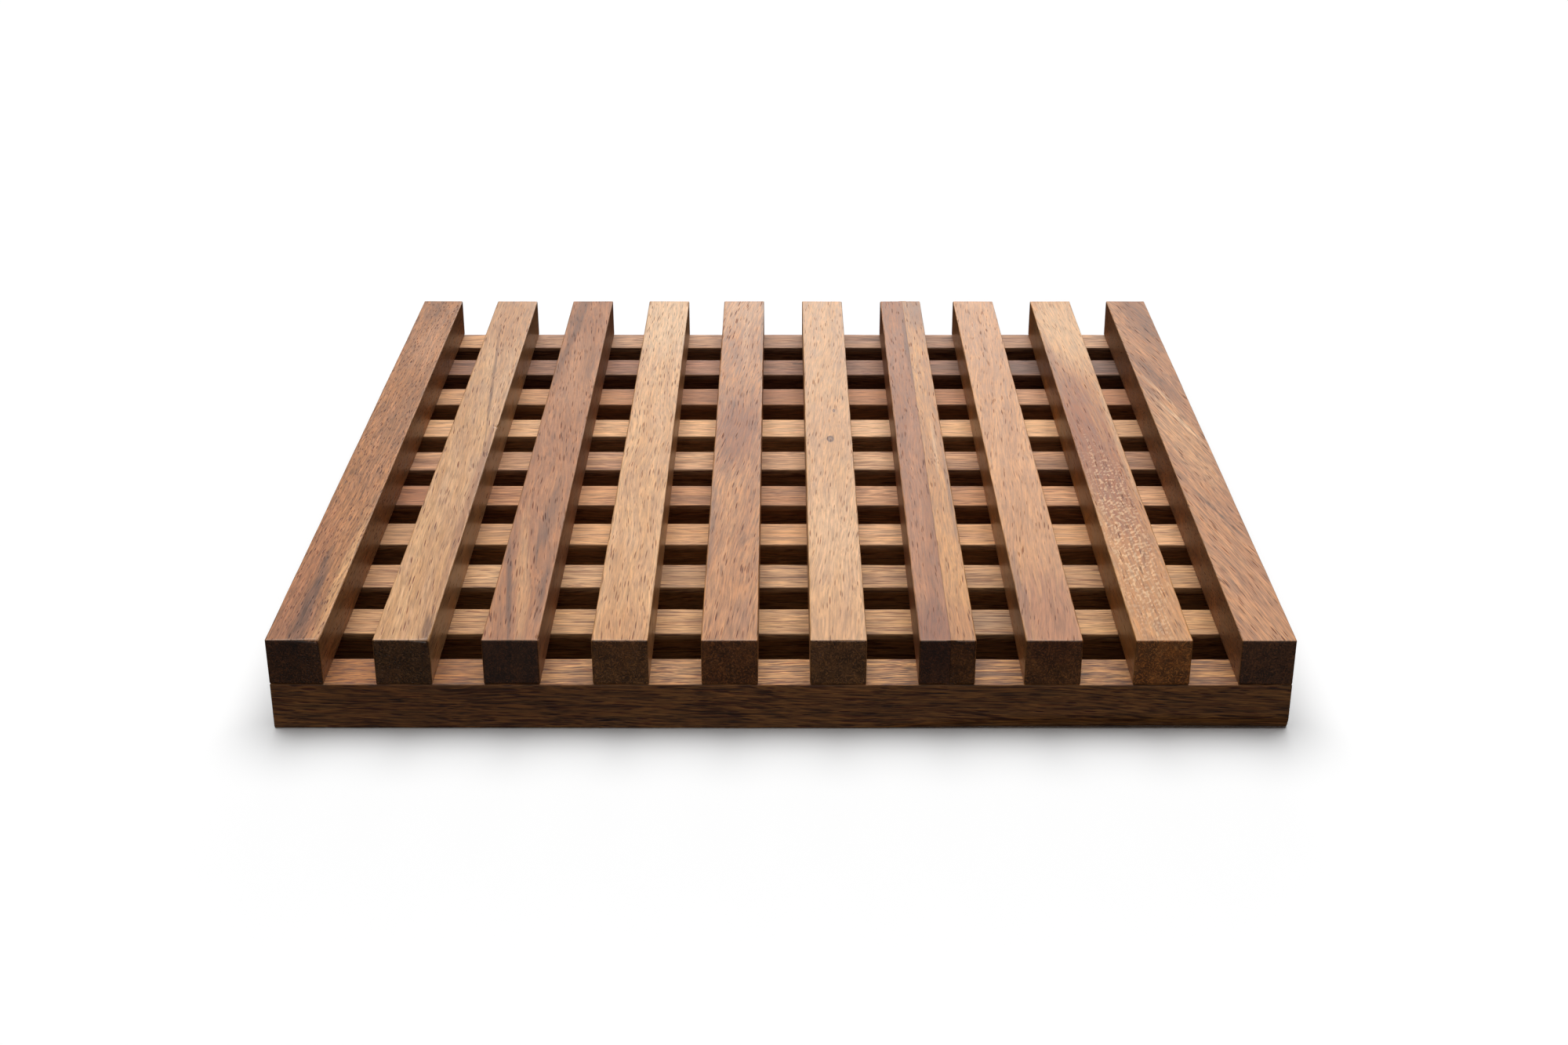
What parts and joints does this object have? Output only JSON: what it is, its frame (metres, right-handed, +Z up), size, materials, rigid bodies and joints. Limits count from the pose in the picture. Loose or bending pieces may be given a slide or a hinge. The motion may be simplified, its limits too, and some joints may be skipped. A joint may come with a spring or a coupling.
{
  "type": "slatted wooden mat",
  "caption": "Square rigid mat of two crossed layers of hardwood slats, glued and pinned face to face, that lets water drain and air pass under what stands on it.",
  "frame": {"origin": "middle of the underside, on the surface that the mat lies on", "axes": "+Z up; +X along the bottom slats, to the right; +Y along the top slats, towards the back"},
  "size_m": [0.203, 0.203, 0.02],
  "materials": {
    "wood_pale": "satin",
    "wood_honey": "satin",
    "wood_pink": "satin",
    "wood_tan": "satin",
    "wood_brown": "satin",
    "wood_umber": "satin",
    "pin_steel": "satin"
  },
  "bodies": {
    "root": {"top_slat_01": "wood_brown", "top_slat_02": "wood_honey", "top_slat_03": "wood_brown", "top_slat_04": "wood_pale", "top_slat_05": "wood_pink", "top_slat_06": "wood_pale", "top_slat_07_left_strip": "wood_brown", "top_slat_07_right_strip": "wood_honey", "top_slat_08": "wood_pink", "top_slat_09": "wood_honey", "top_slat_10": "wood_tan", "bottom_slat_01": "wood_tan", "bottom_slat_02": "wood_honey", "bottom_slat_03": "wood_tan", "bottom_slat_04": "wood_honey", "bottom_slat_05": "wood_tan", "bottom_slat_06": "wood_tan", "bottom_slat_07": "wood_honey", "bottom_slat_08": "wood_brown", "bottom_slat_09": "wood_umber", "bottom_slat_10": "wood_tan", "rim_pins": "pin_steel"}
  },
  "joints": []
}
